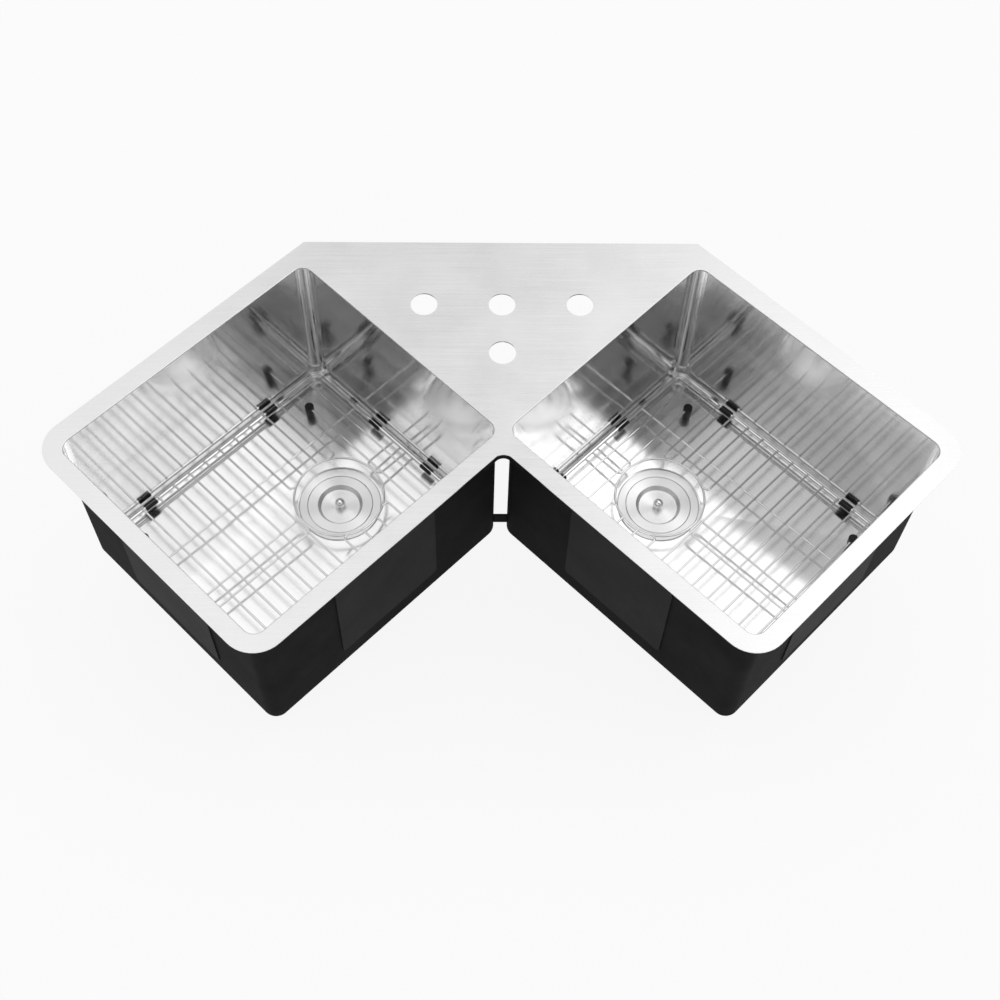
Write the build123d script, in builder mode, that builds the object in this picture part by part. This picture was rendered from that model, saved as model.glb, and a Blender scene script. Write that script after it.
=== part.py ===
from build123d import *
import os
from math import copysign, cos, radians, sin, sqrt

# ------------------------------------------------------------------ driving dimensions, mm
# Origin at the centre of the middle faucet hole on the deck's top face, +X to the right,
# +Y to the back, where the room's corner is, +Z up.

# Deck and bowls
SHEET = 1.5               # stainless sheet of the deck and of both bowls
BOWL_TURN = 45            # a bowl's length stands at this angle to the deck's back edge
BOWL_LENGTH = 403         # opening, along the length
BOWL_WIDTH = 364          # opening, across the length
BOWL_DEPTH = 254          # deck's top to the edge of the floor
BOWL_CORNER = 16          # upright corners, inside
BOWL_COVE = 11            # wall to floor, inside
CORNER_GAP = 5.0          # deck's middle line to a bowl's near corner
BACK_GAP = 37.6           # deck's back edge to a bowl's back corner
FLOOR_FALL = 4.5          # floor's fall from its edge to the drain's middle
DECK_BACK = 102.2         # middle faucet hole to the back edge
RIM_BACK = 27             # flange along the room's walls
RIM_SIDE = 24.6           # flange at a bowl's outer end
RIM_FRONT = 25.1          # flange along the front notch
RIM_CORNER = 42.5         # outer corners of the flange
NOTCH_CORNER = 13         # root of the front notch
BACK_CORNER = 3           # the two blunt corners of the back edge
OPENING_ROUND = 1.2       # polished edge of each bowl's opening
FAUCET_HOLE = 35          # hole for a faucet's shank
FAUCET_PITCH = 101.6      # three holes in a row
FRONT_HOLE_Y = -76.2      # fourth hole, in front of the middle one

# Stiffeners between the bowls
LIP_DROP = 9              # strip under the deck, round the notch's root
LIP_TAIL = 22
BRACE_TOP = -216          # bar that ties the bowls' near corners
BRACE_HEIGHT = 18
BRACE_THICKNESS = 3

# Sound deadening
COAT = 1.0                # sprayed on the outside of the bowls
PAD = 3.0                 # rubber pads glued to the steel
PAD_WIDTH = 167
PAD_HEIGHT = 165
PAD_BOTTOM = -213
PAD_CORNER = 6
BASE_PAD_LENGTH = 150     # pad under the floor
BASE_PAD_WIDTH = 230
BASE_PAD_GAP = 22         # drain's seat to that pad
DRAIN_BARE = 4            # uncoated ring round the drain's nut

# Strainer
DRAIN_OFFSET = 76.5       # bowl's middle to the drain, towards the back corner
DRAIN_HOLE = 89           # hole in the bowl
SEAT_DIAMETER = 118       # pressed seat in the floor
SEAT_DROP = 6.3           # floor's edge to that seat
FLANGE_DIAMETER = 114.3
FLANGE_HEIGHT = 3.0
FLANGE_FALL = 0.9         # flange's slope down to the basket
FLANGE_ROUND = 1.2
LEDGE_DIAMETER = 90.6     # rebate that holds the basket's rim
LEDGE_HEIGHT = 0.8
LEDGE_ROUND = 0.8         # flange's inner edge, over that rebate
NECK_DIAMETER = 86.4     # threaded neck, outside
NECK_WALL = 1.7
SUMP_DEPTH = 32           # seat to the inside bottom
SUMP_CORNER = 8
OUTLET_DIAMETER = 47.6    # thread for the tailpiece's nut
OUTLET_BORE = 39
OUTLET_LENGTH = 28        # inside bottom to the outlet's end
SPIDER_DROP = 6           # inside bottom to the cross bars
SPIDER_ARM = 3
SPIDER_HUB = 14
GASKET = 3.0              # rubber ring under the bowl
WASHER = 1.0              # friction ring under the gasket
RING_DIAMETER = 110
LOCKNUT_HEIGHT = 9
LOCKNUT_DIAMETER = 104
LUG_COUNT = 8
LUG_REACH = 5
LUG_WIDTH = 12
THREAD_CLEARANCE = 0.2

# Basket
BASKET_CLEARANCE = 0.3    # basket to strainer
BASKET_SHEET = 1.0
BASKET_ROUND = 0.7        # rim's upper edge
DISH_DIAMETER = 62        # turned dish in the cover
DISH_FLOOR = 54
DISH_DEPTH = 6.5
DISH_ROUND = 0.8
CUP_DIAMETER = 76         # slotted cup under the cover
CUP_TAPER = 3             # off the radius, top to bottom
SLOT_COUNT = 16
SLOT_WIDTH = 3.2
SLOT_HEIGHT = 14
CUP_HOLE = 6
CUP_HOLE_COUNT = 8
CUP_HOLE_CIRCLE = 52
POST_DIAMETER = 8
POST_CLEARANCE = 0.1      # post in the basket's own sheets
KNOB_DIAMETER = 14.5
KNOB_HEIGHT = 9           # dish floor to the knob's middle
SEAL_DIAMETER = 44        # covers the outlet's bore
SEAL_HEIGHT = 4.5
SEAL_CHAMFER = 1.5
POST_NUT_WIDTH = 13
POST_NUT_HEIGHT = 4
POST_TAIL = 3             # post below the cross bars

# Bottom grid
GRID_INSET = 7.5          # bowl's wall to the middle of the frame's rod
FRAME_ROD = 5
FRAME_BEND = 12
WIRE = 3
GRID_HEIGHT = 19          # floor's edge to the middle of the top wires
WIRE_PITCH = 27.3         # top wires
FRONT_WIRES = 9           # top wires on the front side of the drain's middle
BACK_WIRES = 4
RING_RADIUS = 62          # ring round the drain
RING_DROP = 1.8           # top wires to the ring, middle to middle
WIRE_SHORT = 1.5          # lower wires stop short of the frame's middle
HOOK_START = 30           # cut wires further out than this end in a hook
HOOK_REACH = 9
HOOK_BEND = 4
PAIR_SPREAD = 12.6        # bowl's middle line to the doubled lower wires
PAIR_BEND = 5
OUTER_SPREAD = 92         # bowl's middle line to the outer lower wires
FOOT_SPREAD = 137         # bowl's middle line to the feet
FOOT_DIAMETER = 10.5      # where it stands
FOOT_HEAD_DIAMETER = 13
FOOT_HEAD = 8
FOOT_CAP = 1.5            # rubber over the wire
FOOT_CLEARANCE = 0.3
FOOT_WIRES = (-8.5, 2.5)  # wires with feet, in pitches from the drain's middle
GRIP_CLEARANCE = 0.05     # rubber on a rod
BUMPER_DIAMETER = 9.6
BUMPER_LENGTH = 19
BUMPER_SLOT = 2.6
SIDE_BUMPERS = (-7, 1)    # in pitches from the drain's middle
END_BUMPERS = {"left": (52.3, -52.3), "right": (78, -52.3)}

SIDES = {"left": -1, "right": 1}

# ------------------------------------------------------------------ places that pieces share
TURN_COS = cos(radians(BOWL_TURN))
TURN_SIN = sin(radians(BOWL_TURN))
BOWL_X = CORNER_GAP + (BOWL_LENGTH * TURN_COS + BOWL_WIDTH * TURN_SIN) / 2
BOWL_Y = DECK_BACK - BACK_GAP - (BOWL_LENGTH * TURN_SIN + BOWL_WIDTH * TURN_COS) / 2
SEAT_Z = -BOWL_DEPTH - SEAT_DROP
SUMP_Z = SEAT_Z - SUMP_DEPTH
OUTLET_Z = SUMP_Z - OUTLET_LENGTH
SPIDER_Z = SUMP_Z - SPIDER_DROP
RIM_UNDER_Z = SEAT_Z + LEDGE_HEIGHT + BASKET_CLEARANCE
RIM_TOP_Z = RIM_UNDER_Z + BASKET_SHEET
DISH_Z = RIM_TOP_Z - DISH_DEPTH
CUP_Z = SUMP_Z + BASKET_CLEARANCE + SEAL_HEIGHT
TOP_WIRE_Z = -BOWL_DEPTH + GRID_HEIGHT
LOWER_WIRE_Z = TOP_WIRE_Z - WIRE
FRAME_Z = TOP_WIRE_Z - (WIRE + FRAME_ROD) / 2
RING_Z = TOP_WIRE_Z - RING_DROP
FRAME_HALF_LENGTH = BOWL_LENGTH / 2 - GRID_INSET
FRAME_HALF_WIDTH = BOWL_WIDTH / 2 - GRID_INSET

os.makedirs("parts", exist_ok=True)


def bowl_plane(side, height=0.0):
    """Plane at a bowl's middle, its X along the bowl's length towards the back corner."""
    return Plane(
        origin=(SIDES[side] * BOWL_X, BOWL_Y, height),
        x_dir=(-SIDES[side] * TURN_COS, TURN_SIN, 0),
        z_dir=(0, 0, 1),
    )


def drain_plane(side):
    """Upright plane through a drain's middle: its X is a radius, its Y is the height."""
    middle = bowl_plane(side).from_local_coords((DRAIN_OFFSET, 0, 0))
    return Plane(origin=middle, x_dir=(1, 0, 0), z_dir=(0, -1, 0))


def drain_axis(side):
    return Axis(bowl_plane(side).from_local_coords((DRAIN_OFFSET, 0, 0)), (0, 0, 1))


def drain_level(side, height):
    """Level plane at a drain's middle, turned with the bowl."""
    plane = bowl_plane(side)
    return Plane(plane.from_local_coords((DRAIN_OFFSET, 0, height)), plane.x_dir, (0, 0, 1))


def wall_plane(side, heading, reach):
    """Plane on a bowl's outer wall, at the deck's height, facing outwards."""
    outward = bowl_plane(side).rotated((0, 0, heading))
    return Plane(outward.from_local_coords((reach, 0, 0)), outward.y_dir, outward.x_dir)


def save(part, name):
    part.label = name
    export_step(part, f"parts/{name}.step")


# ------------------------------------------------------------------ deck
def deck_outline():
    """Corners of the flange's outline, round from the left end of the back edge."""
    left = bowl_plane("left")
    end = -BOWL_LENGTH / 2 - RIM_SIDE
    outer = left.from_local_coords((end, BOWL_WIDTH / 2 + RIM_BACK, 0))
    front = left.from_local_coords((end, -BOWL_WIDTH / 2 - RIM_FRONT, 0))
    slope = TURN_SIN / TURN_COS
    back = (outer.X + (DECK_BACK - outer.Y) / slope, DECK_BACK)
    notch = (0, front.Y - front.X * slope)
    return [back, (outer.X, outer.Y), (front.X, front.Y), notch,
            (-front.X, front.Y), (-outer.X, outer.Y), (-back[0], back[1])]


with BuildPart() as deck:
    with BuildSketch():
        with BuildLine():
            FilletPolyline(
                *deck_outline(),
                radius=[BACK_CORNER, RIM_CORNER, RIM_CORNER, NOTCH_CORNER,
                        RIM_CORNER, RIM_CORNER, BACK_CORNER],
                close=True,
            )
        make_face()
        for hand in SIDES.values():
            with Locations((hand * BOWL_X, BOWL_Y)):
                RectangleRounded(BOWL_LENGTH, BOWL_WIDTH, BOWL_CORNER,
                                 rotation=-hand * BOWL_TURN, mode=Mode.SUBTRACT)
        with Locations((0, 0), (-FAUCET_PITCH, 0), (FAUCET_PITCH, 0), (0, FRONT_HOLE_Y)):
            Circle(FAUCET_HOLE / 2, mode=Mode.SUBTRACT)
    extrude(amount=-SHEET)
    top_face = deck.faces().sort_by(Axis.Z)[-1]
    bowl_edges = [wire for wire in top_face.inner_wires() if wire.length > BOWL_WIDTH]
    fillet([edge for wire in bowl_edges for edge in wire.edges()], OPENING_ROUND)
save(deck.part, "deck_plate")


# ------------------------------------------------------------------ bowls
def bowl_form(side, grow):
    """The bowl's cavity as a solid, grown outwards all round, from the deck's underside."""
    with BuildPart() as form:
        with BuildSketch(bowl_plane(side, -SHEET)):
            RectangleRounded(BOWL_LENGTH + 2 * grow, BOWL_WIDTH + 2 * grow, BOWL_CORNER + grow)
        extrude(amount=-(BOWL_DEPTH + grow - SHEET))
        fillet(form.faces().sort_by(Axis.Z)[0].edges(), BOWL_COVE + grow)
        with BuildSketch(bowl_plane(side, -BOWL_DEPTH - grow), mode=Mode.PRIVATE) as floor:
            RectangleRounded(BOWL_LENGTH - 2 * BOWL_COVE, BOWL_WIDTH - 2 * BOWL_COVE,
                             BOWL_CORNER - BOWL_COVE)
        lowest = drain_level(side, -BOWL_DEPTH - grow - FLOOR_FALL).origin
        loft([floor.sketch.faces()[0], Vertex(*lowest)])
        with BuildSketch(drain_level(side, -BOWL_DEPTH)):
            Circle(SEAT_DIAMETER / 2 + grow)
        extrude(amount=-SEAT_DROP - grow)
    return form.part


def floor_fall(along, across):
    """Fall of the floor at a point of the bowl's plane, which slopes from all four sides."""
    half_length = BOWL_LENGTH / 2 - BOWL_COVE
    half_width = BOWL_WIDTH / 2 - BOWL_COVE
    shares = (
        (half_length - along) / (half_length - DRAIN_OFFSET),
        (half_length + along) / (half_length + DRAIN_OFFSET),
        (half_width - abs(across)) / half_width,
    )
    return FLOOR_FALL * min(shares)


def make_bowl(side, cavity, steel):
    with BuildPart() as bowl:
        add(steel)
        add(cavity, mode=Mode.SUBTRACT)
        with BuildSketch(drain_level(side, -BOWL_DEPTH)):
            Circle(DRAIN_HOLE / 2)
        extrude(amount=-SEAT_DROP - 2 * SHEET, mode=Mode.SUBTRACT)
    save(bowl.part, f"{side}_bowl")


def make_wall_pads(side):
    with BuildPart() as pads:
        for quarter, length in enumerate((BOWL_LENGTH, BOWL_WIDTH, BOWL_LENGTH, BOWL_WIDTH)):
            with BuildSketch(wall_plane(side, quarter * 90, length / 2 + SHEET)):
                with Locations((0, PAD_BOTTOM + PAD_HEIGHT / 2)):
                    RectangleRounded(PAD_WIDTH, PAD_HEIGHT, PAD_CORNER)
            extrude(amount=PAD)
    save(pads.part, f"{side}_wall_pads")
    return pads.part


def base_pad_block(side):
    """Block through the floor over the base pad's place."""
    middle = DRAIN_OFFSET - SEAT_DIAMETER / 2 - BASE_PAD_GAP - BASE_PAD_LENGTH / 2
    with BuildPart() as block:
        with BuildSketch(bowl_plane(side, -BOWL_DEPTH)):
            with Locations((middle, 0)):
                RectangleRounded(BASE_PAD_LENGTH, BASE_PAD_WIDTH, PAD_CORNER)
        extrude(amount=-2 * SEAT_DROP)
    return block.part


def make_deadening(side, steel):
    wall_pads = make_wall_pads(side)
    base_block = base_pad_block(side)

    padded = bowl_form(side, SHEET + PAD)
    with BuildPart() as base_pad:
        add(padded)
        add(steel, mode=Mode.SUBTRACT)
        add(base_block, mode=Mode.INTERSECT)
    save(base_pad.part, f"{side}_base_pad")

    coated = bowl_form(side, SHEET + COAT)
    bare = LOCKNUT_DIAMETER / 2 + LUG_REACH + DRAIN_BARE
    with BuildPart() as coat:
        add(coated)
        add(steel, mode=Mode.SUBTRACT)
        add(wall_pads, mode=Mode.SUBTRACT)
        add(base_block, mode=Mode.SUBTRACT)
        with BuildSketch(drain_level(side, -BOWL_DEPTH)):
            Circle(bare)
        extrude(amount=-2 * SEAT_DROP, mode=Mode.SUBTRACT)
    save(coat.part, f"{side}_undercoat")
    return coated


# ------------------------------------------------------------------ strainer
def turned(side, corners):
    """A solid turned about a drain's axis from corners of radius, height and bend."""
    with BuildPart() as piece:
        with BuildSketch(drain_plane(side)) as profile:
            with BuildLine():
                Polyline(*[(r, z) for r, z, bend in corners], close=True)
            make_face()
            for r, z, bend in corners:
                if bend:
                    fillet(profile.vertices().sort_by_distance((r, z))[0], bend)
        revolve(axis=drain_axis(side))
    return piece.part


def make_strainer(side):
    flange_r = FLANGE_DIAMETER / 2
    ledge_r = LEDGE_DIAMETER / 2
    neck_r = NECK_DIAMETER / 2
    inner_r = neck_r - NECK_WALL
    body = turned(side, [
        (flange_r, SEAT_Z, 0),
        (flange_r, SEAT_Z + FLANGE_HEIGHT, FLANGE_ROUND),
        (ledge_r, SEAT_Z + FLANGE_HEIGHT - FLANGE_FALL, LEDGE_ROUND),
        (ledge_r, SEAT_Z + LEDGE_HEIGHT, 0),
        (inner_r, SEAT_Z + LEDGE_HEIGHT, 0),
        (inner_r, SUMP_Z, SUMP_CORNER),
        (OUTLET_BORE / 2, SUMP_Z, 0),
        (OUTLET_BORE / 2, SUMP_Z - NECK_WALL, 0),
        (neck_r, SUMP_Z - NECK_WALL, SUMP_CORNER + NECK_WALL),
        (neck_r, SEAT_Z, 0),
    ])
    save(body, f"{side}_strainer_body")

    with BuildPart() as spud:
        with BuildSketch(drain_level(side, SUMP_Z - NECK_WALL)):
            Circle(OUTLET_DIAMETER / 2)
            Circle(OUTLET_BORE / 2, mode=Mode.SUBTRACT)
        extrude(amount=-(OUTLET_LENGTH - NECK_WALL))
    save(spud.part, f"{side}_strainer_spud")

    with BuildPart() as spider:
        with BuildSketch(drain_level(side, SPIDER_Z)):
            Rectangle(OUTLET_BORE, SPIDER_ARM)
            Rectangle(SPIDER_ARM, OUTLET_BORE)
            Circle(SPIDER_HUB / 2)
            Circle(OUTLET_BORE / 2, mode=Mode.INTERSECT)
            Circle(POST_DIAMETER / 2 + BASKET_CLEARANCE, mode=Mode.SUBTRACT)
        extrude(amount=-SPIDER_ARM)
    save(spider.part, f"{side}_strainer_spider")


def make_ring(side, name, top, height):
    """A flat ring on the strainer's neck, and the height of its lower face."""
    with BuildPart() as ring:
        with BuildSketch(drain_level(side, top)):
            Circle(RING_DIAMETER / 2)
            Circle(NECK_DIAMETER / 2 + THREAD_CLEARANCE, mode=Mode.SUBTRACT)
        extrude(amount=-height)
    save(ring.part, f"{side}_{name}")
    return top - height


def make_locknut(side, top):
    with BuildPart() as locknut:
        with BuildSketch(drain_level(side, top)):
            Circle(LOCKNUT_DIAMETER / 2)
            with PolarLocations(LOCKNUT_DIAMETER / 2, LUG_COUNT):
                Rectangle(2 * LUG_REACH, LUG_WIDTH)
            Circle(NECK_DIAMETER / 2 + THREAD_CLEARANCE, mode=Mode.SUBTRACT)
        extrude(amount=-LOCKNUT_HEIGHT)
    save(locknut.part, f"{side}_strainer_locknut")


# ------------------------------------------------------------------ basket
def make_basket(side):
    rim_r = LEDGE_DIAMETER / 2 - BASKET_CLEARANCE
    bore_r = POST_DIAMETER / 2 + POST_CLEARANCE
    cover = turned(side, [
        (rim_r, RIM_UNDER_Z, 0),
        (rim_r, RIM_TOP_Z, BASKET_ROUND),
        (DISH_DIAMETER / 2, RIM_TOP_Z, DISH_ROUND),
        (DISH_FLOOR / 2, DISH_Z, DISH_ROUND),
        (bore_r, DISH_Z, 0),
        (bore_r, DISH_Z - BASKET_SHEET, 0),
        (DISH_FLOOR / 2 + BASKET_SHEET / 2, DISH_Z - BASKET_SHEET, DISH_ROUND),
        (DISH_DIAMETER / 2 + BASKET_SHEET / 2, RIM_UNDER_Z, DISH_ROUND),
    ])
    save(cover, f"{side}_basket_cover")

    top_r = CUP_DIAMETER / 2
    foot_r = top_r - CUP_TAPER
    shell = turned(side, [
        (top_r, RIM_UNDER_Z, 0),
        (foot_r, CUP_Z, 0),
        (bore_r, CUP_Z, 0),
        (bore_r, CUP_Z + BASKET_SHEET, 0),
        (foot_r - BASKET_SHEET, CUP_Z + BASKET_SHEET, 0),
        (top_r - BASKET_SHEET, RIM_UNDER_Z, 0),
    ])
    with BuildPart() as cup:
        add(shell)
        level = drain_level(side, (RIM_UNDER_Z + CUP_Z) / 2)
        for number in range(SLOT_COUNT):
            radial = level.rotated((0, 0, number * 360 / SLOT_COUNT))
            with BuildSketch(Plane(radial.origin, radial.y_dir, radial.x_dir)):
                SlotOverall(SLOT_HEIGHT, SLOT_WIDTH, rotation=90)
            extrude(amount=top_r, mode=Mode.SUBTRACT)
        with BuildSketch(drain_level(side, CUP_Z)):
            with PolarLocations(CUP_HOLE_CIRCLE / 2, CUP_HOLE_COUNT):
                Circle(CUP_HOLE / 2)
        extrude(amount=BASKET_SHEET, mode=Mode.SUBTRACT)
    save(cup.part, f"{side}_basket_cup")

    post_end = SPIDER_Z - SPIDER_ARM - POST_TAIL
    knob_r = KNOB_DIAMETER / 2
    post_r = POST_DIAMETER / 2
    knob_z = DISH_Z + KNOB_HEIGHT
    with BuildPart() as post:
        with BuildSketch(drain_plane(side)):
            with BuildLine():
                neck = (post_r, knob_z - sqrt(knob_r ** 2 - post_r ** 2))
                Polyline((0, knob_z + knob_r), (0, post_end), (post_r, post_end), neck)
                ThreePointArc(neck, (knob_r, knob_z), (0, knob_z + knob_r))
            make_face()
        revolve(axis=drain_axis(side))
    save(post.part, f"{side}_basket_post")

    seal_r = SEAL_DIAMETER / 2
    seal_bottom = CUP_Z - SEAL_HEIGHT
    seal = turned(side, [
        (bore_r, seal_bottom, 0),
        (seal_r - SEAL_CHAMFER, seal_bottom, 0),
        (seal_r, seal_bottom + SEAL_CHAMFER, 0),
        (seal_r, CUP_Z, 0),
        (bore_r, CUP_Z, 0),
    ])
    save(seal, f"{side}_basket_seal")

    with BuildPart() as nut:
        with BuildSketch(drain_level(side, seal_bottom)):
            RegularPolygon(POST_NUT_WIDTH / 2, 6, major_radius=False)
            Circle(bore_r, mode=Mode.SUBTRACT)
        extrude(amount=-POST_NUT_HEIGHT)
    save(nut.part, f"{side}_basket_nut")


# ------------------------------------------------------------------ bottom grid
def rod(plane, points, diameter, bend=0.0, close=False):
    """A round rod bent along points of a level plane."""
    with BuildPart() as bent:
        with BuildLine(plane) as path:
            if bend:
                FilletPolyline(*points, radius=bend, close=close)
            else:
                Polyline(*points)
        run = path.wires()[0]
        with BuildSketch(Plane(run @ 0, z_dir=run % 0)):
            Circle(diameter / 2)
        sweep(path=run)
    return bent.part


def make_frame(side):
    x, y = FRAME_HALF_LENGTH, FRAME_HALF_WIDTH
    frame = rod(bowl_plane(side, FRAME_Z), [(-x, y), (-x, -y), (x, -y), (x, y)],
                FRAME_ROD, FRAME_BEND, close=True)
    save(frame, f"{side}_grid_frame")
    return frame


def make_drain_ring(side):
    plane = drain_level(side, RING_Z)
    with BuildPart() as ring:
        with BuildSketch(Plane(plane.origin, plane.x_dir, plane.y_dir)):
            with Locations((RING_RADIUS, 0)):
                Circle(WIRE / 2)
        revolve(axis=Axis(plane.origin, (0, 0, 1)))
    save(ring.part, f"{side}_grid_drain_ring")
    return ring.part


def top_wires(side):
    """Wires across the bowl, on the frame: those that meet the ring end on it."""
    plane = bowl_plane(side, TOP_WIRE_Z)
    offsets = [(0.5 + n) * WIRE_PITCH for n in range(BACK_WIRES)]
    offsets += [-(0.5 + n) * WIRE_PITCH for n in range(FRONT_WIRES)]
    wires = []
    for offset in offsets:
        x = DRAIN_OFFSET + offset
        if abs(offset) > RING_RADIUS:
            wires.append(rod(plane, [(x, -FRAME_HALF_WIDTH), (x, FRAME_HALF_WIDTH)], WIRE))
            continue
        hooked = abs(offset) > HOOK_START
        tip = abs(offset) - HOOK_REACH if hooked else abs(offset)
        landing = sqrt(RING_RADIUS ** 2 - tip ** 2)
        for hand in (-1, 1):
            start = (x, hand * FRAME_HALF_WIDTH)
            end = (DRAIN_OFFSET + (tip if offset > 0 else -tip), hand * landing)
            if hooked:
                corner = (x, hand * (landing + WIRE / 2))
                wires.append(rod(plane, [start, corner, end], WIRE, HOOK_BEND))
            else:
                wires.append(rod(plane, [start, end], WIRE))
    return wires


def lower_wires(side):
    """Wires along the bowl, under the top wires: the inner ones bend back at the ring."""
    plane = bowl_plane(side, LOWER_WIRE_Z)
    reach = RING_RADIUS + sqrt(WIRE ** 2 - (RING_Z - LOWER_WIRE_Z) ** 2)
    half = FRAME_HALF_LENGTH - WIRE_SHORT
    wires = [rod(plane, [(-half, y), (half, y)], WIRE) for y in (-OUTER_SPREAD, OUTER_SPREAD)]
    for hand in (-1, 1):
        end = hand * half
        turn = DRAIN_OFFSET + hand * reach
        wires.append(rod(plane, [(end, PAIR_SPREAD), (turn, PAIR_SPREAD),
                                 (turn, -PAIR_SPREAD), (end, -PAIR_SPREAD)], WIRE, PAIR_BEND))
    return wires


def save_wires(wires, welded_to, name):
    """Wires as one node, coped where they meet the piece they are welded to."""
    with BuildPart() as coped:
        for wire in wires:
            add(wire)
        add(welded_to, mode=Mode.SUBTRACT)
    save(coped.part, name)


def make_feet(side):
    foot_r = FOOT_DIAMETER / 2
    top = TOP_WIRE_Z + WIRE / 2 + FOOT_CAP
    plane = bowl_plane(side, TOP_WIRE_Z)
    with BuildPart() as feet:
        for pitches in FOOT_WIRES:
            x = DRAIN_OFFSET + pitches * WIRE_PITCH
            for y in (-FOOT_SPREAD, FOOT_SPREAD):
                fall = floor_fall(x + copysign(foot_r, x), abs(y) + foot_r)
                with BuildSketch(bowl_plane(side, -BOWL_DEPTH - fall + FOOT_CLEARANCE)):
                    with Locations((x, y)):
                        Circle(foot_r)
                with BuildSketch(bowl_plane(side, top - FOOT_HEAD)):
                    with Locations((x, y)):
                        Circle(FOOT_HEAD_DIAMETER / 2)
                loft(ruled=True)
                with BuildSketch(bowl_plane(side, top - FOOT_HEAD)):
                    with Locations((x, y)):
                        Circle(FOOT_HEAD_DIAMETER / 2)
                extrude(amount=FOOT_HEAD)
            with BuildSketch(Plane(plane.from_local_coords((x, -FRAME_HALF_WIDTH, 0)),
                                   plane.x_dir, plane.y_dir)):
                Circle(WIRE / 2 + GRIP_CLEARANCE)
            extrude(amount=2 * FRAME_HALF_WIDTH, mode=Mode.SUBTRACT)
    save(feet.part, f"{side}_grid_feet")


def make_bumpers(side):
    """Rubber clips on the frame's rod, open at the top."""
    spots = [(DRAIN_OFFSET + n * WIRE_PITCH, hand * FRAME_HALF_WIDTH, 0)
             for n in SIDE_BUMPERS for hand in (-1, 1)]
    spots += [(hand * FRAME_HALF_LENGTH, y, 90)
              for y in END_BUMPERS[side] for hand in (-1, 1)]
    plane = bowl_plane(side, FRAME_Z)
    with BuildPart() as bumpers:
        for x, y, heading in spots:
            along = Plane(plane.from_local_coords((x, y, 0)), plane.x_dir, (0, 0, 1))
            along = along.rotated((0, 0, heading))
            with BuildSketch(Plane(along.origin, along.y_dir, along.x_dir)):
                Circle(BUMPER_DIAMETER / 2)
                Circle(FRAME_ROD / 2 + GRIP_CLEARANCE, mode=Mode.SUBTRACT)
                with Locations((0, BUMPER_DIAMETER / 2)):
                    Rectangle(BUMPER_SLOT, BUMPER_DIAMETER, mode=Mode.SUBTRACT)
            extrude(amount=BUMPER_LENGTH / 2, both=True)
    save(bumpers.part, f"{side}_grid_bumpers")


coated_bowls = []
for side in SIDES:
    steel = bowl_form(side, SHEET)
    make_bowl(side, bowl_form(side, 0), steel)
    coated_bowls.append(make_deadening(side, steel))
    make_strainer(side)
    gasket_foot = make_ring(side, "strainer_gasket", SEAT_Z - SHEET, GASKET)
    washer_foot = make_ring(side, "friction_washer", gasket_foot, WASHER)
    make_locknut(side, washer_foot)
    make_basket(side)
    frame = make_frame(side)
    ring = make_drain_ring(side)
    save_wires(top_wires(side), ring, f"{side}_grid_top_wires")
    save_wires(lower_wires(side), frame, f"{side}_grid_lower_wires")
    make_feet(side)
    make_bumpers(side)

# ------------------------------------------------------------------ stiffeners
with BuildPart() as brace:
    corner = bowl_plane("left").from_local_coords((BOWL_LENGTH / 2, -BOWL_WIDTH / 2, 0))
    with BuildSketch(Plane.XY.offset(BRACE_TOP)):
        with Locations((0, corner.Y)):
            Rectangle(2 * BOWL_CORNER + 2 * abs(corner.X), BRACE_THICKNESS)
    extrude(amount=-BRACE_HEIGHT)
    for coated in coated_bowls:
        add(coated, mode=Mode.SUBTRACT)
save(brace.part, "bowl_brace")

with BuildPart() as lip:
    top = deck_outline()[3][1] + SHEET / 2 / TURN_COS
    reach = (LIP_TAIL + NOTCH_CORNER) * TURN_COS
    foot = top - (LIP_TAIL + NOTCH_CORNER) * TURN_SIN
    with BuildSketch(Plane.XY.offset(-SHEET)):
        with BuildLine():
            FilletPolyline((-reach, foot), (0, top), (reach, foot), radius=NOTCH_CORNER)
        trace(line_width=SHEET)
    extrude(amount=-LIP_DROP)
save(lip.part, "notch_stiffener")
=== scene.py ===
import logging
import math
from dataclasses import dataclass, field
from enum import Enum

import bmesh
import bpy
from mathutils import Matrix, Vector


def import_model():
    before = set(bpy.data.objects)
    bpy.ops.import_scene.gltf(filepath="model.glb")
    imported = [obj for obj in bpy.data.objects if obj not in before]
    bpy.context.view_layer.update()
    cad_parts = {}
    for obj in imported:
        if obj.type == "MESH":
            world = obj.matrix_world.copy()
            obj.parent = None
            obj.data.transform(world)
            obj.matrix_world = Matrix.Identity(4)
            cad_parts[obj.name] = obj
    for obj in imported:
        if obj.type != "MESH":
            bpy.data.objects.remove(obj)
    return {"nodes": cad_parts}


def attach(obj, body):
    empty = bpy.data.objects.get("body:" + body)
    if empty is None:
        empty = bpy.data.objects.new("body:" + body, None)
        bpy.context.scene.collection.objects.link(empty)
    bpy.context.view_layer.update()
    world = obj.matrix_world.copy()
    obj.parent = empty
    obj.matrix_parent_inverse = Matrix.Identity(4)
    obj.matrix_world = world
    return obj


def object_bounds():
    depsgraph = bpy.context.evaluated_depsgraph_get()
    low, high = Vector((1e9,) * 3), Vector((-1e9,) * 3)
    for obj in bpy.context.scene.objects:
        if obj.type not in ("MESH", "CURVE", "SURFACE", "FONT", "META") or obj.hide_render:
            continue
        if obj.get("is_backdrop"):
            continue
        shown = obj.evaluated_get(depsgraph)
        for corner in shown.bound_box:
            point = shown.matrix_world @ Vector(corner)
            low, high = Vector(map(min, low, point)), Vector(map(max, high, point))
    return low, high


MM = 0.001
LOG = logging.getLogger("corner_sink")

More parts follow.
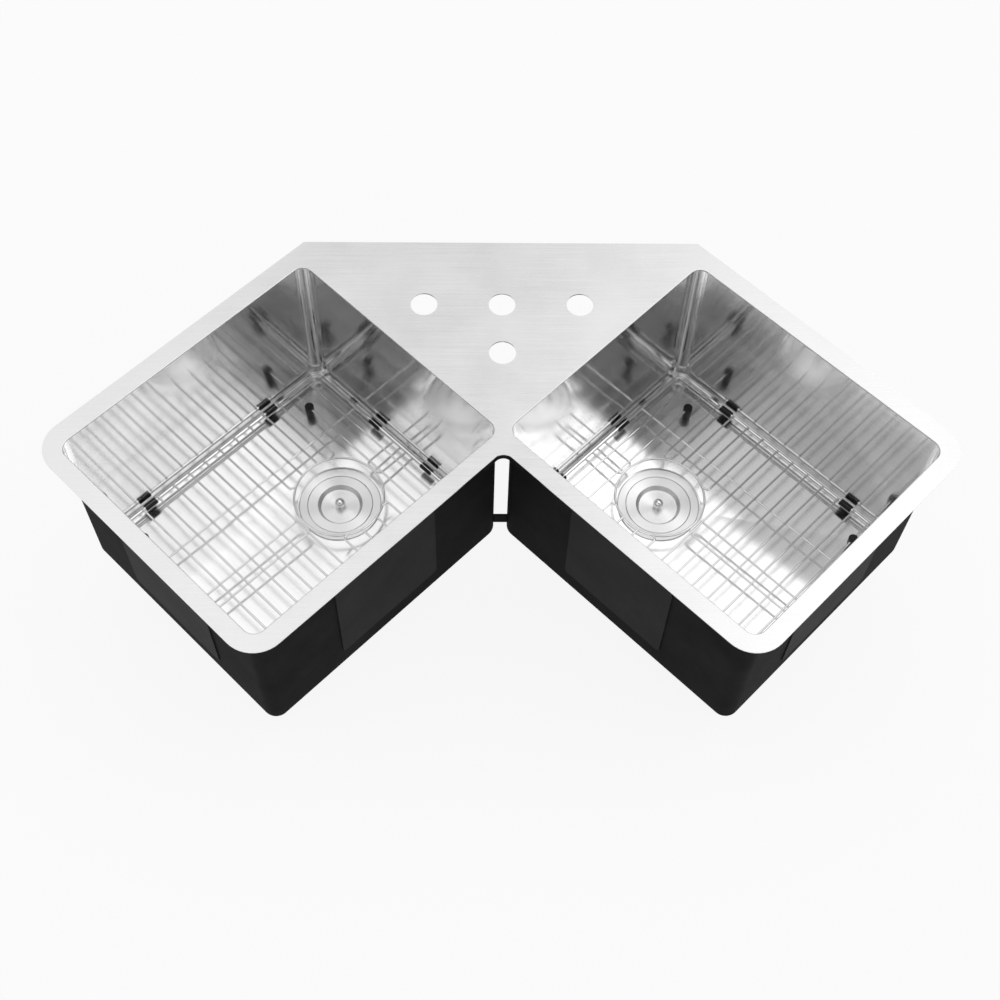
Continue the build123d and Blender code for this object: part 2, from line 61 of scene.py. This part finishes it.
# Places that the pieces share with the CAD, in millimetres of the row frame.
BOWL_X = 276.1755
BOWL_Y = -206.5755
BOWL_TURN = 45.0
DRAIN_OFFSET = 76.5

# Where a noise's values mostly lie, which spreads a metal's and a soft skin's shades.
METAL_NOISE = (0.35, 0.65)
SOFT_NOISE = (0.3, 0.7)
SKIN_ROUGHNESS = 0.08     # how far a soft skin's roughness swings
END_WALL = (0.65, 0.75)   # how squarely a wall faces the brush when its lines turn
LOOKS_UP = (0.6, 0.95)    # a normal's Z from wall to floor
QUARTER_TURN = 0.25       # turns the given direction into the groove's

WHITE = (1.0, 1.0, 1.0, 1.0)
PAPER = (0.85, 0.85, 0.85, 1.0)
FLOOR_HALF_M = 8.0
FLOOR_GAP_M = 0.0005      # floor's top to the lowest piece
SENSOR_MM = 36.0
CLIP_M = (0.05, 60.0)


class Side(Enum):
    """The two bowls, with the sign of their X."""

    LEFT = -1
    RIGHT = 1

    @property
    def word(self) -> str:
        """The side's word in node names."""
        return self.name.lower()

    @property
    def turn(self) -> float:
        """Heading of the bowl's length, in radians."""
        degrees = BOWL_TURN if self is Side.LEFT else 180.0 - BOWL_TURN
        return math.radians(degrees)

    def place(self, along: float, across: float, height: float) -> Vector:
        """A point of the bowl's own plane, in the row frame.

        Args:
            along: millimetres along the bowl's length, towards the back corner.
            across: millimetres across it, to the left of that heading.
            height: millimetres above the deck's top.

        Returns:
            The point in metres.
        """
        c, s = math.cos(self.turn), math.sin(self.turn)
        x = self.value * BOWL_X + along * c - across * s
        y = BOWL_Y + along * s + across * c
        return Vector((x, y, height)) * MM

    @property
    def drain(self) -> Vector:
        """The drain's middle at the deck's height."""
        return self.place(DRAIN_OFFSET, 0.0, 0.0)


# --------------------------------------------------------------------------- materials
def linear(code: str) -> tuple[float, float, float, float]:
    """Turns an sRGB hex value into a linear colour.

    Args:
        code: six hex digits.

    Returns:
        Linear red, green, blue and alpha.
    """
    def channel(value: float) -> float:
        return value / 12.92 if value <= 0.04045 else ((value + 0.055) / 1.055) ** 2.4

    r, g, b = (channel(int(code[i:i + 2], 16) / 255.0) for i in (0, 2, 4))
    return (r, g, b, 1.0)


def add_node(tree: bpy.types.NodeTree, kind: str, inputs: dict | None = None,
             **settings) -> bpy.types.Node:
    """Adds a node with its settings, socket values and links.

    Args:
        tree: the node tree.
        kind: the node's type name.
        inputs: socket name or number to a value, or to the socket linked to it.
        **settings: the node's own properties.

    Returns:
        The node.
    """
    node = tree.nodes.new(kind)
    for name, value in settings.items():
        setattr(node, name, value)
    for key, value in (inputs or {}).items():
        socket = node.inputs[key]
        if isinstance(value, bpy.types.NodeSocket):
            tree.links.new(value, socket)
        else:
            socket.default_value = value
    return node


def ramp(node: bpy.types.Node, low: tuple[float, str], high: tuple[float, str]) -> None:
    """Sets a colour ramp's two stops from positions and hex values."""
    for stop, (position, code) in zip(node.color_ramp.elements, (low, high)):
        stop.position = position
        stop.color = linear(code)


class Grain(Enum):
    """How a metal's surface was finished, which turns the scratches' direction."""

    STRAIGHT = "straight"
    TURNED = "turned"


@dataclass(frozen=True)
class Finish:
    """A material's base: its name and its two sRGB shades."""

    name: str
    dark: str
    light: str

    def start(self) -> tuple[bpy.types.Material, bpy.types.NodeTree, bpy.types.Node]:
        """Makes the material with an empty Principled surface.

        Returns:
            The material, its tree and its Principled node.
        """
        material = bpy.data.materials.new(self.name)
        material.use_nodes = True
        tree = material.node_tree
        tree.nodes.clear()
        surface = add_node(tree, "ShaderNodeBsdfPrincipled")
        add_node(tree, "ShaderNodeOutputMaterial", {"Surface": surface.outputs["BSDF"]})
        material.diffuse_color = linear(self.light)
        return material, tree, surface


@dataclass(frozen=True)
class Stainless(Finish):
    """304 stainless sheet or wire, with the scratches that its finishing belt left.

    Sheet is rolled and belt-brushed, which draws reflections out across the scratches.
    The belt's grit leaves lines about 0.1 mm wide; they are drawn wider so they show.
    """

    roughness: float = 0.22
    spread: float = 0.05
    anisotropy: float = 0.0
    grain: Grain = Grain.STRAIGHT
    scratch_width_mm: float = 0.7
    scratch_length_mm: float = 60.0
    scratch_depth_mm: float = 0.004
    turn_deg: float = 0.0
    centre: tuple[float, float] = (0.0, 0.0)
    floor_roughness: float | None = None
    mottle_mm: float = 90.0
    mottle_share: float = 0.4

    def make(self) -> bpy.types.Material:
        """Builds the material.

        Returns:
            The finished material.
        """
        material, tree, surface = self.start()
        place = add_node(tree, "ShaderNodeTexCoord").outputs["Object"]
        centred = add_node(tree, "ShaderNodeMapping", {
            "Vector": place,
            "Location": (-self.centre[0], -self.centre[1], 0.0),
        }).outputs["Vector"]
        lines = self.scratches(tree, centred)
        mottle = add_node(tree, "ShaderNodeTexNoise", {
            "Vector": place, "Scale": 1.0 / (self.mottle_mm * MM), "Detail": 3.0,
        }).outputs["Fac"]
        shade = add_node(tree, "ShaderNodeMix", {
            "Factor": self.mottle_share, "A": lines, "B": mottle,
        }, data_type="FLOAT").outputs["Result"]
        colour = add_node(tree, "ShaderNodeValToRGB", {"Fac": shade})
        low, high = METAL_NOISE
        ramp(colour, (low, self.dark), (high, self.light))
        tree.links.new(colour.outputs["Color"], surface.inputs["Base Color"])

        rough = add_node(tree, "ShaderNodeMapRange", {
            "Value": shade, "From Min": low, "From Max": high,
            "To Min": self.roughness - self.spread, "To Max": self.roughness + self.spread,
        }).outputs["Result"]
        if self.floor_roughness is not None:
            rough = self.floor_blend(tree, rough)
        tree.links.new(rough, surface.inputs["Roughness"])

        bump = add_node(tree, "ShaderNodeBump", {
            "Strength": 0.35, "Distance": self.scratch_depth_mm * MM, "Height": lines,
        })
        tree.links.new(bump.outputs["Normal"], surface.inputs["Normal"])
        surface.inputs["Metallic"].default_value = 1.0
        if self.anisotropy:
            surface.inputs["Anisotropic"].default_value = self.anisotropy
            surface.inputs["Anisotropic Rotation"].default_value = QUARTER_TURN
            tree.links.new(self.lay(tree), surface.inputs["Tangent"])
        return material

    def lay(self, tree: bpy.types.NodeTree) -> bpy.types.NodeSocket:
        """Adds the direction that the scratches run in, level on walls.

        Args:
            tree: the material's tree.

        Returns:
            The direction, along the surface.
        """
        if self.grain is Grain.TURNED:
            return add_node(tree, "ShaderNodeTangent", direction_type="RADIAL",
                            axis="Z").outputs["Tangent"]
        turn = math.radians(self.turn_deg)
        heading = (math.cos(turn), math.sin(turn), 0.0)
        normal = add_node(tree, "ShaderNodeNewGeometry").outputs["Normal"]
        level = add_node(tree, "ShaderNodeVectorMath", {
            0: normal, 1: (0.0, 0.0, 1.0),
        }, operation="CROSS_PRODUCT").outputs["Vector"]
        steep = add_node(tree, "ShaderNodeVectorMath", {0: level},
                         operation="LENGTH").outputs["Value"]
        agrees = add_node(tree, "ShaderNodeVectorMath", {0: level, 1: heading},
                          operation="DOT_PRODUCT").outputs["Value"]
        forward = add_node(tree, "ShaderNodeMath", {0: agrees, 1: 0.0},
                           operation="GREATER_THAN").outputs[0]
        flat = add_node(tree, "ShaderNodeMix", {
            0: forward, 4: tuple(-v for v in heading), 5: heading,
        }, data_type="VECTOR").outputs[1]
        return add_node(tree, "ShaderNodeMix", {0: steep, 4: flat, 5: level},
                        data_type="VECTOR").outputs[1]

    def scratches(self, tree: bpy.types.NodeTree,
                  centred: bpy.types.NodeSocket) -> bpy.types.NodeSocket:
        """Adds the scratch pattern.

        Args:
            tree: the material's tree.
            centred: coordinates from the piece's own middle.

        Returns:
            The pattern's value, about 0.5 on average.
        """
        across = 1.0 / (self.scratch_width_mm * MM)
        along = 1.0 / (self.scratch_length_mm * MM)
        if self.grain is Grain.TURNED:
            flat = add_node(tree, "ShaderNodeMapping", {
                "Vector": centred, "Scale": (1.0, 1.0, 0.0),
            }).outputs["Vector"]
            radius = add_node(tree, "ShaderNodeVectorMath", {0: flat},
                              operation="LENGTH").outputs["Value"]
            return self.lines(tree, add_node(tree, "ShaderNodeCombineXYZ", {
                "X": add_node(tree, "ShaderNodeMath", {0: radius, 1: across},
                              operation="MULTIPLY").outputs[0],
            }).outputs["Vector"])
        turn = math.radians(self.turn_deg)
        turned = add_node(tree, "ShaderNodeMapping", {
            "Vector": centred, "Rotation": (0.0, 0.0, -turn),
        }).outputs["Vector"]
        main = self.lines(tree, add_node(tree, "ShaderNodeMapping", {
            "Vector": turned, "Scale": (along, across, across),
        }).outputs["Vector"])
        if self.floor_roughness is None:
            return main
        # The walls that face the brush are brushed level too, so their lines turn.
        end = self.lines(tree, add_node(tree, "ShaderNodeMapping", {
            "Vector": turned, "Scale": (across, along, across),
        }).outputs["Vector"])
        normal = add_node(tree, "ShaderNodeNewGeometry").outputs["Normal"]
        facing = add_node(tree, "ShaderNodeVectorMath", {
            0: normal, 1: (math.cos(turn), math.sin(turn), 0.0),
        }, operation="DOT_PRODUCT").outputs["Value"]
        size = add_node(tree, "ShaderNodeMath", {0: facing},
                        operation="ABSOLUTE").outputs[0]
        is_end = add_node(tree, "ShaderNodeMapRange", {
            "Value": size, "From Min": END_WALL[0], "From Max": END_WALL[1],
        }).outputs["Result"]
        return add_node(tree, "ShaderNodeMix", {"Factor": is_end, "A": main, "B": end},
                        data_type="FLOAT").outputs["Result"]

    def lines(self, tree: bpy.types.NodeTree,
              drawn: bpy.types.NodeSocket) -> bpy.types.NodeSocket:
        """Adds one set of scratches on stretched coordinates.

        Args:
            tree: the material's tree.
            drawn: coordinates in scratch widths across and lengths along.

        Returns:
            The set's value.
        """
        return add_node(tree, "ShaderNodeTexNoise", {
            "Vector": drawn, "Scale": 1.0, "Detail": 4.0, "Roughness": 0.65,
        }).outputs["Fac"]

    def floor_blend(self, tree: bpy.types.NodeTree,
                    rough: bpy.types.NodeSocket) -> bpy.types.NodeSocket:
        """Makes faces that look up rougher than the walls.

        Args:
            tree: the material's tree.
            rough: the walls' roughness.

        Returns:
            The blended roughness.
        """
        normal = add_node(tree, "ShaderNodeNewGeometry").outputs["Normal"]
        up = add_node(tree, "ShaderNodeSeparateXYZ", {"Vector": normal}).outputs["Z"]
        share = add_node(tree, "ShaderNodeMapRange", {
            "Value": up, "From Min": LOOKS_UP[0], "From Max": LOOKS_UP[1],
        }).outputs["Result"]
        extra = add_node(tree, "ShaderNodeMath", {
            0: share, 1: self.floor_roughness - self.roughness,
        }, operation="MULTIPLY").outputs[0]
        return add_node(tree, "ShaderNodeMath", {0: rough, 1: extra},
                        operation="ADD").outputs[0]


@dataclass(frozen=True)
class Soft(Finish):
    """A rubber, coat or fibre: dull, with a fine uneven skin."""

    roughness: float = 0.7
    skin_mm: float = 1.6
    skin_depth_mm: float = 0.15
    metallic: float = 0.0
    gloss: float = 0.5
    mottle_mm: float = 60.0

    def make(self) -> bpy.types.Material:
        """Builds the material.

        Returns:
            The finished material.
        """
        material, tree, surface = self.start()
        place = add_node(tree, "ShaderNodeTexCoord").outputs["Object"]
        mottle = add_node(tree, "ShaderNodeTexNoise", {
            "Vector": place, "Scale": 1.0 / (self.mottle_mm * MM), "Detail": 4.0,
        }).outputs["Fac"]
        skin = add_node(tree, "ShaderNodeTexNoise", {
            "Vector": place, "Scale": 1.0 / (self.skin_mm * MM), "Detail": 3.0,
        }).outputs["Fac"]
        colour = add_node(tree, "ShaderNodeValToRGB", {"Fac": mottle})
        ramp(colour, (SOFT_NOISE[0], self.dark), (SOFT_NOISE[1], self.light))
        tree.links.new(colour.outputs["Color"], surface.inputs["Base Color"])
        rough = add_node(tree, "ShaderNodeMapRange", {
            "Value": skin, "To Min": self.roughness - SKIN_ROUGHNESS,
            "To Max": self.roughness + SKIN_ROUGHNESS,
        })
        tree.links.new(rough.outputs["Result"], surface.inputs["Roughness"])
        bump = add_node(tree, "ShaderNodeBump", {
            "Strength": 0.5, "Distance": self.skin_depth_mm * MM, "Height": skin,
        })
        tree.links.new(bump.outputs["Normal"], surface.inputs["Normal"])
        surface.inputs["Metallic"].default_value = self.metallic
        surface.inputs["Specular IOR Level"].default_value = self.gloss
        return material


def dress(obj: bpy.types.Object, material: bpy.types.Material) -> None:
    """Gives an object one material."""
    obj.data.materials.clear()
    obj.data.materials.append(material)


# --------------------------------------------------------------------------- pieces
def ride_with(mesh: bmesh.types.BMesh, name: str, body: str,
              material: bpy.types.Material) -> bpy.types.Object:
    """Finishes a bmesh as a piece that rides on a CAD body.

    Args:
        mesh: the piece's shape, in metres of the row frame; it is freed.
        name: the piece's name.
        body: the CAD body it rides on.
        material: its finish.

    Returns:
        The new object.
    """
    bmesh.ops.recalc_face_normals(mesh, faces=mesh.faces)
    for face in mesh.faces:
        face.smooth = True
    data = bpy.data.meshes.new(name)
    mesh.to_mesh(data)
    mesh.free()
    obj = bpy.data.objects.new(name, data)
    bpy.context.scene.collection.objects.link(obj)
    dress(obj, material)
    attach(obj, body)
    LOG.info("%s: %d faces", name, len(data.polygons))
    return obj


@dataclass
class Thread:
    """A turned screw thread, as ridges round a drain's axis."""

    radius_mm: float
    top_mm: float
    turns: int
    pitch_mm: float
    depth_mm: float
    segments: int = 72

    def build(self, side: Side) -> bmesh.types.BMesh:
        """Spins the ridges' outline round the drain.

        Args:
            side: the bowl.

        Returns:
            The thread's mesh.
        """
        mesh = bmesh.new()
        root = self.radius_mm - self.depth_mm
        heights = [self.top_mm - self.pitch_mm * n / 2 for n in range(2 * self.turns + 1)]
        outline = [(root, self.top_mm)]
        outline += [(self.radius_mm if n % 2 else root + 0.3 * self.depth_mm, z)
                    for n, z in enumerate(heights) if n]
        outline.append((root, heights[-1]))
        centre = side.drain
        vertices = [mesh.verts.new(centre + Vector((r, 0.0, z)) * MM) for r, z in outline]
        edges = [mesh.edges.new(pair) for pair in zip(vertices, vertices[1:])]
        edges.append(mesh.edges.new((vertices[-1], vertices[0])))
        bmesh.ops.spin(mesh, geom=vertices + edges, cent=centre, axis=(0, 0, 1),
                       dvec=(0, 0, 0), angle=2 * math.pi, steps=self.segments,
                       use_merge=True, use_duplicate=False)
        bmesh.ops.remove_doubles(mesh, verts=mesh.verts, dist=1e-7)
        return mesh


@dataclass
class Strainer:
    """The screw threads of a bowl's strainer, under the floor."""

    side: Side
    finishes: dict[str, bpy.types.Material]
    neck: Thread = field(default_factory=lambda: Thread(43.55, -275.4, 4, 2.0, 0.5))
    outlet: Thread = field(default_factory=lambda: Thread(24.15, -301.0, 7, 2.2, 0.6))

    def build(self) -> None:
        """Adds the neck's and the outlet's threads."""
        word = self.side.word
        for name, thread in (("neck_thread", self.neck), ("outlet_thread", self.outlet)):
            ride_with(thread.build(self.side), f"{word}_{name}", "sink",
                      self.finishes["turned"])


@dataclass
class Grid:
    """A bowl's bottom grid, whose crossings get their resistance welds."""

    side: Side
    finishes: dict[str, bpy.types.Material]
    top_wire_mm: float = -235.0
    wire_mm: float = 3.0
    pitch_mm: float = 27.3
    frame_half_mm: tuple[float, float] = (194.0, 174.5)
    outer_spread_mm: float = 92.0
    pair_spread_mm: float = 12.6
    front_wires: int = 9
    back_wires: int = 4
    weld_mm: float = 1.7
    ring_mm: float = 62.0

    def crossings(self) -> list[Vector]:
        """Where the top wires cross the lower ones and the frame.

        Returns:
            The weld's middles, in metres.
        """
        offsets = [(n + 0.5) * self.pitch_mm for n in range(self.back_wires)]
        offsets += [-(n + 0.5) * self.pitch_mm for n in range(self.front_wires)]
        spots = []
        between = self.top_wire_mm - self.wire_mm / 2
        for offset in offsets:
            along = DRAIN_OFFSET + offset
            for hand in (-1, 1):
                spots.append(self.side.place(along, hand * self.frame_half_mm[1], between))
                spots.append(self.side.place(along, hand * self.outer_spread_mm, between))
                if abs(offset) > self.ring_mm:
                    spots.append(self.side.place(along, hand * self.pair_spread_mm,
                                                 between))
        return spots

    def build(self) -> None:
        """Adds the welds as small flattened beads."""
        mesh = bmesh.new()
        for spot in self.crossings():
            bead = bmesh.ops.create_icosphere(mesh, subdivisions=1,
                                              radius=self.weld_mm * MM)["verts"]
            bmesh.ops.scale(mesh, vec=(1.0, 1.0, 0.45), verts=bead)
            bmesh.ops.translate(mesh, vec=spot, verts=bead)
        ride_with(mesh, f"{self.side.word}_grid_welds", f"{self.side.word}_grid",
                  self.finishes["wire"])


# --------------------------------------------------------------------------- the sink
class CornerSink:
    """The whole sink: finishes for every CAD node, and the pieces added to them."""

    def __init__(self, nodes: dict[str, bpy.types.Object]) -> None:
        """Keeps the CAD nodes and makes the finishes."""
        self.nodes = nodes
        self.shared = {
            # Belt-brushed along the deck: long fine lines, reflections drawn out in Y.
            "deck": Stainless("Stainless_304_Deck_Belt_Brushed", "D8D8D8", "E8E8E8",
                              roughness=0.28, spread=0.05, anisotropy=0.5,
                              scratch_width_mm=0.9, scratch_length_mm=140.0,
                              scratch_depth_mm=0.006).make(),
            # Electropolished wire: bright, nearly without lines.
            "wire": Stainless("Stainless_304_Wire_Electropolished", "E2E2E2", "F4F4F4",
                              roughness=0.08, spread=0.02, scratch_width_mm=0.6,
                              scratch_length_mm=12.0, scratch_depth_mm=0.002).make(),
            # Sprayed rubberised coat: dull, fine orange peel.
            "coat": Soft("Sound_Coat_Sprayed", "202021", "2C2C2E", roughness=0.68,
                         gloss=0.03, skin_mm=2.2, skin_depth_mm=0.12).make(),
            # Butyl pad under the same spray, a little smoother.
            "pad": Soft("Butyl_Rubber_Pad_Rolled", "252526", "313133", roughness=0.60,
                        gloss=0.06, skin_mm=1.4, skin_depth_mm=0.06).make(),
            # Moulded EPDM: black with a slight skin sheen.
            "rubber": Soft("EPDM_Rubber_Moulded", "0C0C0C", "161616", roughness=0.48,
                           skin_mm=0.8, skin_depth_mm=0.03, mottle_mm=12.0).make(),
            # Pressed fibre: dry, brown-grey.
            "fibre": Soft("Vulcanised_Fibre_Pressed", "4A4038", "5E5348", roughness=0.8,
                          skin_mm=0.9, skin_depth_mm=0.05, mottle_mm=8.0).make(),
            # Cast brass, turned on its faces.
            "brass": Soft("Brass_Cast_Turned", "A8843C", "C29C50", roughness=0.34,
                          skin_mm=0.9, skin_depth_mm=0.04, metallic=1.0,
                          mottle_mm=10.0).make(),
        }

    def per_side(self, side: Side) -> dict[str, bpy.types.Material]:
        """Makes the finishes that follow a bowl's own heading or drain.

        Args:
            side: the bowl.

        Returns:
            The side's finishes with the shared ones.
        """
        centre = (side.drain.x, side.drain.y)
        own = {
            # Satin-brushed bowl: the floor across its length, the walls level. Mirror
            # images stay sharp along the brush and blur across it.
            "bowl": Stainless(f"Stainless_304_Bowl_Satin_{side.word}", "EEEEEE", "FAFAFA",
                              roughness=0.085, spread=0.015, anisotropy=0.95,
                              floor_roughness=0.185, scratch_width_mm=0.8,
                              scratch_length_mm=90.0, scratch_depth_mm=0.002,
                              turn_deg=math.degrees(side.turn) + 90.0, centre=centre,
                              mottle_share=0.25).make(),
            # Turned on a lathe: rings round the drain that fan the highlights.
            "turned": Stainless(f"Stainless_304_Lathe_Turned_{side.word}", "E6E6E6",
                                "F8F8F8", roughness=0.30, spread=0.04, anisotropy=0.97,
                                grain=Grain.TURNED, scratch_width_mm=0.7,
                                scratch_depth_mm=0.004, centre=centre).make(),
        }
        return {**self.shared, **own}

    def build(self) -> None:
        """Dresses every node and adds the made pieces."""
        dress(self.nodes["deck_plate"], self.shared["deck"])
        dress(self.nodes["bowl_brace"], self.shared["coat"])
        dress(self.nodes["notch_stiffener"], self.shared["coat"])
        wear = {
            "bowl": "bowl", "undercoat": "coat", "wall_pads": "pad", "base_pad": "pad",
            "strainer_body": "turned", "strainer_spud": "turned",
            "strainer_spider": "wire", "strainer_gasket": "rubber",
            "friction_washer": "fibre", "strainer_locknut": "brass",
            "basket_cover": "turned", "basket_cup": "turned", "basket_post": "wire",
            "basket_seal": "rubber", "basket_nut": "wire", "grid_frame": "wire",
            "grid_drain_ring": "wire", "grid_top_wires": "wire",
            "grid_lower_wires": "wire", "grid_feet": "rubber", "grid_bumpers": "rubber",
        }
        for side in Side:
            finishes = self.per_side(side)
            for node, finish in wear.items():
                dress(self.nodes[f"{side.word}_{node}"], finishes[finish])
            Strainer(side, finishes).build()
            Grid(side, finishes).build()
            LOG.info("%s side dressed", side.word)


# --------------------------------------------------------------------------- the studio
@dataclass(frozen=True)
class Softbox:
    """A soft patch of light in the tent, which fades to nothing at its reach."""

    towards: tuple[float, float, float]
    reach_deg: float
    level: float


@dataclass
class Studio:
    """Pale floor, a tent of soft light and the photograph's camera."""

    floor_z: float
    lens_mm: float = 56.56
    camera_at: tuple[float, float, float] = (-0.041265, -1.238303, 1.648751)
    pitch: float = 1.0500940
    yaw: float = 0.0384251
    roll: float = 0.0354124
    floor_glow: float = 0.90
    fill: float = 0.03
    horizon: tuple[float, float] = (0.06, 0.14)
    # Twelve patches overhead and to the back and right, dim above the camera, with levels
    # fitted to the photograph's tones. Then five in a low ring that the deck shows in
    # level views.
    softboxes: tuple[Softbox, ...] = (
        Softbox((0.0, 0.0, 1.0), 32.0, 0.42),
        Softbox((0.364, 0.21, 0.908), 30.0, 0.78),
        Softbox((0.0, 0.42, 0.908), 30.0, 0.34),
        Softbox((-0.364, 0.21, 0.908), 30.0, 0.62),
        Softbox((-0.364, -0.21, 0.908), 30.0, 0.24),
        Softbox((0.364, -0.21, 0.908), 30.0, 0.34),
        Softbox((0.75, 0.0, 0.661), 34.0, 0.80),
        Softbox((0.53, 0.53, 0.661), 34.0, 0.64),
        Softbox((0.0, 0.75, 0.661), 34.0, 0.46),
        Softbox((-0.53, 0.53, 0.661), 34.0, 0.38),
        Softbox((-0.75, 0.0, 0.661), 34.0, 0.30),
        Softbox((0.84, -0.485, 0.243), 50.0, 0.40),
        Softbox((0.0, -0.95, 0.31), 32.0, 0.60),
        Softbox((-0.82, -0.48, 0.31), 32.0, 0.25),
        Softbox((-0.82, 0.48, 0.31), 34.0, 0.32),
        Softbox((0.0, 0.95, 0.31), 34.0, 0.32),
        Softbox((0.82, 0.48, 0.31), 34.0, 0.32),
    )

    def build(self) -> None:
        """Sets the world, floor and camera."""
        self.world()
        self.floor()
        self.camera()

    def world(self) -> None:
        """Softboxes in a dim tent, with a white horizon that the metal shows too."""
        world = bpy.data.worlds.new("Studio_World")
        bpy.context.scene.world = world
        world.use_nodes = True
        tree = world.node_tree
        tree.nodes.clear()
        way = add_node(tree, "ShaderNodeTexCoord").outputs["Generated"]
        level: float | bpy.types.NodeSocket = self.fill
        for box in self.softboxes:
            near = add_node(tree, "ShaderNodeVectorMath", {0: way, 1: box.towards},
                            operation="DOT_PRODUCT").outputs["Value"]
            patch = add_node(tree, "ShaderNodeMapRange", {
                "Value": near, "From Min": math.cos(math.radians(box.reach_deg)),
                "From Max": 1.0, "To Max": box.level,
            }, interpolation_type="SMOOTHSTEP").outputs["Result"]
            level = add_node(tree, "ShaderNodeMath", {0: level, 1: patch},
                             operation="ADD").outputs[0]
        path = add_node(tree, "ShaderNodeLightPath")
        height = add_node(tree, "ShaderNodeSeparateXYZ", {"Vector": way}).outputs["Z"]
        low, high = self.horizon
        band = add_node(tree, "ShaderNodeMapRange", {
            "Value": height, "From Min": low, "From Max": high,
            "To Min": 1.0, "To Max": 0.0,
        }).outputs["Result"]
        mirrored = add_node(tree, "ShaderNodeMath", {
            0: path.outputs["Is Glossy Ray"], 1: path.outputs["Is Transmission Ray"],
        }, operation="MAXIMUM").outputs[0]
        band = add_node(tree, "ShaderNodeMath", {0: band, 1: mirrored},
                        operation="MULTIPLY").outputs[0]
        for white in (band, path.outputs["Is Camera Ray"]):
            level = add_node(tree, "ShaderNodeMath", {0: level, 1: white},
                             operation="MAXIMUM").outputs[0]
        background = add_node(tree, "ShaderNodeBackground", {
            "Color": WHITE, "Strength": level,
        })
        add_node(tree, "ShaderNodeOutputWorld", {"Surface": background.outputs[0]})

    def floor(self) -> None:
        """A wide pale sheet under the sink that keeps a soft shadow."""
        mesh = bmesh.new()
        bmesh.ops.create_grid(mesh, x_segments=1, y_segments=1, size=FLOOR_HALF_M)
        bmesh.ops.translate(mesh, vec=(0.0, 0.0, self.floor_z), verts=mesh.verts)
        data = bpy.data.meshes.new("Studio_Floor")
        mesh.to_mesh(data)
        mesh.free()
        floor = bpy.data.objects.new("Studio_Floor", data)
        bpy.context.scene.collection.objects.link(floor)
        material = bpy.data.materials.new("Paper_White_Matt")
        material.use_nodes = True
        tree = material.node_tree
        tree.nodes.clear()
        paper = add_node(tree, "ShaderNodeBsdfDiffuse", {"Color": PAPER})
        glow = add_node(tree, "ShaderNodeEmission", {"Color": WHITE})
        path = add_node(tree, "ShaderNodeLightPath")
        seen = path.outputs["Is Camera Ray"]
        for ray in ("Is Glossy Ray", "Is Transmission Ray"):
            seen = add_node(tree, "ShaderNodeMath", {0: seen, 1: path.outputs[ray]},
                            operation="MAXIMUM").outputs[0]
        share = add_node(tree, "ShaderNodeMath", {0: seen, 1: self.floor_glow},
                         operation="MULTIPLY").outputs[0]
        mixed = add_node(tree, "ShaderNodeMixShader", {
            0: share, 1: paper.outputs[0], 2: glow.outputs[0],
        })
        add_node(tree, "ShaderNodeOutputMaterial", {"Surface": mixed.outputs[0]})
        dress(floor, material)
        floor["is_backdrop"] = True

    def camera(self) -> None:
        """Places the camera where the photograph was taken from."""
        cp, sp = math.cos(self.pitch), math.sin(self.pitch)
        cy, sy = math.cos(self.yaw), math.sin(self.yaw)
        forward = Vector((sy * cp, cy * cp, -sp))
        level = Vector((cy, -sy, 0.0))
        upright = level.cross(forward)
        cr, sr = math.cos(self.roll), math.sin(self.roll)
        right = cr * level + sr * upright
        up = -sr * level + cr * upright
        data = bpy.data.cameras.new("Photo_Camera")
        data.lens = self.lens_mm
        data.sensor_width = SENSOR_MM
        data.clip_start, data.clip_end = CLIP_M
        obj = bpy.data.objects.new("Photo_Camera", data)
        bpy.context.scene.collection.objects.link(obj)
        turned = Matrix((right, up, -forward)).transposed()
        obj.matrix_world = Matrix.Translation(self.camera_at) @ turned.to_4x4()
        bpy.context.scene.camera = obj


def main() -> None:
    """Loads the frame, builds the sink, and sets its studio under the frame's box."""
    logging.basicConfig(level=logging.INFO, format="%(message)s")
    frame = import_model()
    cad_box = [list(corner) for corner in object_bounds()]
    bpy.context.scene.view_settings.view_transform = "Standard"
    CornerSink(frame["nodes"]).build()
    Studio(floor_z=cad_box[0][2] - FLOOR_GAP_M).build()
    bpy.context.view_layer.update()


if __name__ == "__main__":
    main()
